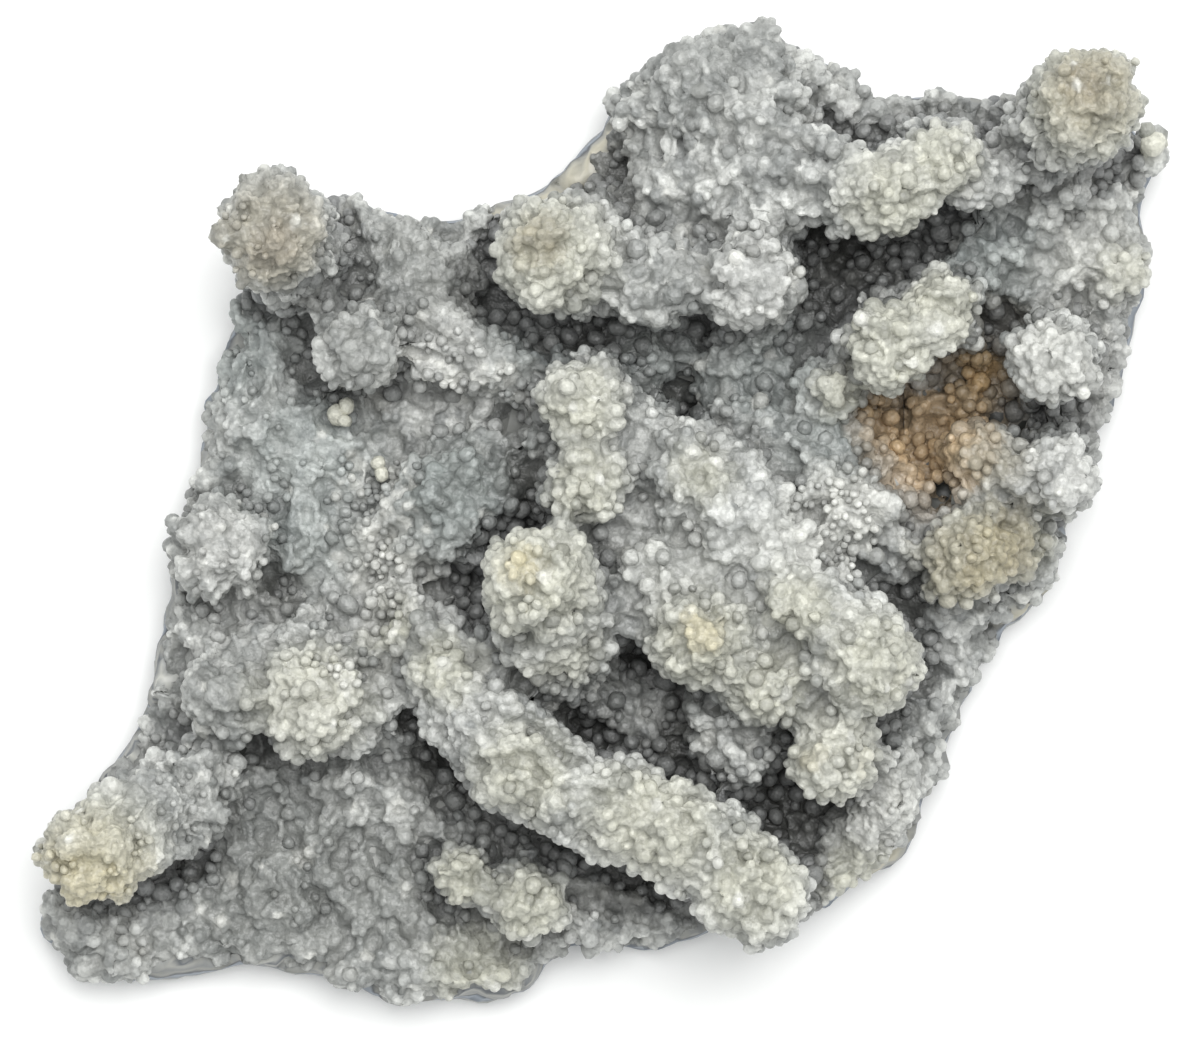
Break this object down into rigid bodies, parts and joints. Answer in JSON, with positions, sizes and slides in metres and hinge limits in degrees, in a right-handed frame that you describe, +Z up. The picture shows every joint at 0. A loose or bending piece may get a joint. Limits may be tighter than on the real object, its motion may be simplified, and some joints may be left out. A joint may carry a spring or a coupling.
{
  "type": "chalcedony stalactite plate",
  "caption": "Loose plate of chalcedony stalactites, with knobs and lying fingers coated in drusy quartz, resting on a flat underside.",
  "frame": {"origin": "middle of the bounding box on the flat underside", "axes": "+Z up out of the flat underside, +Y towards the upper edge of the plate, +X to the right"},
  "size_m": [0.1576, 0.1396, 0.0444],
  "materials": {
    "drusy_chalcedony": "milky grey to cream quartz grains with a slight gloss, nearly opaque"
  },
  "bodies": {
    "root": {"stalactite_plate": "drusy_chalcedony"}
  },
  "joints": []
}
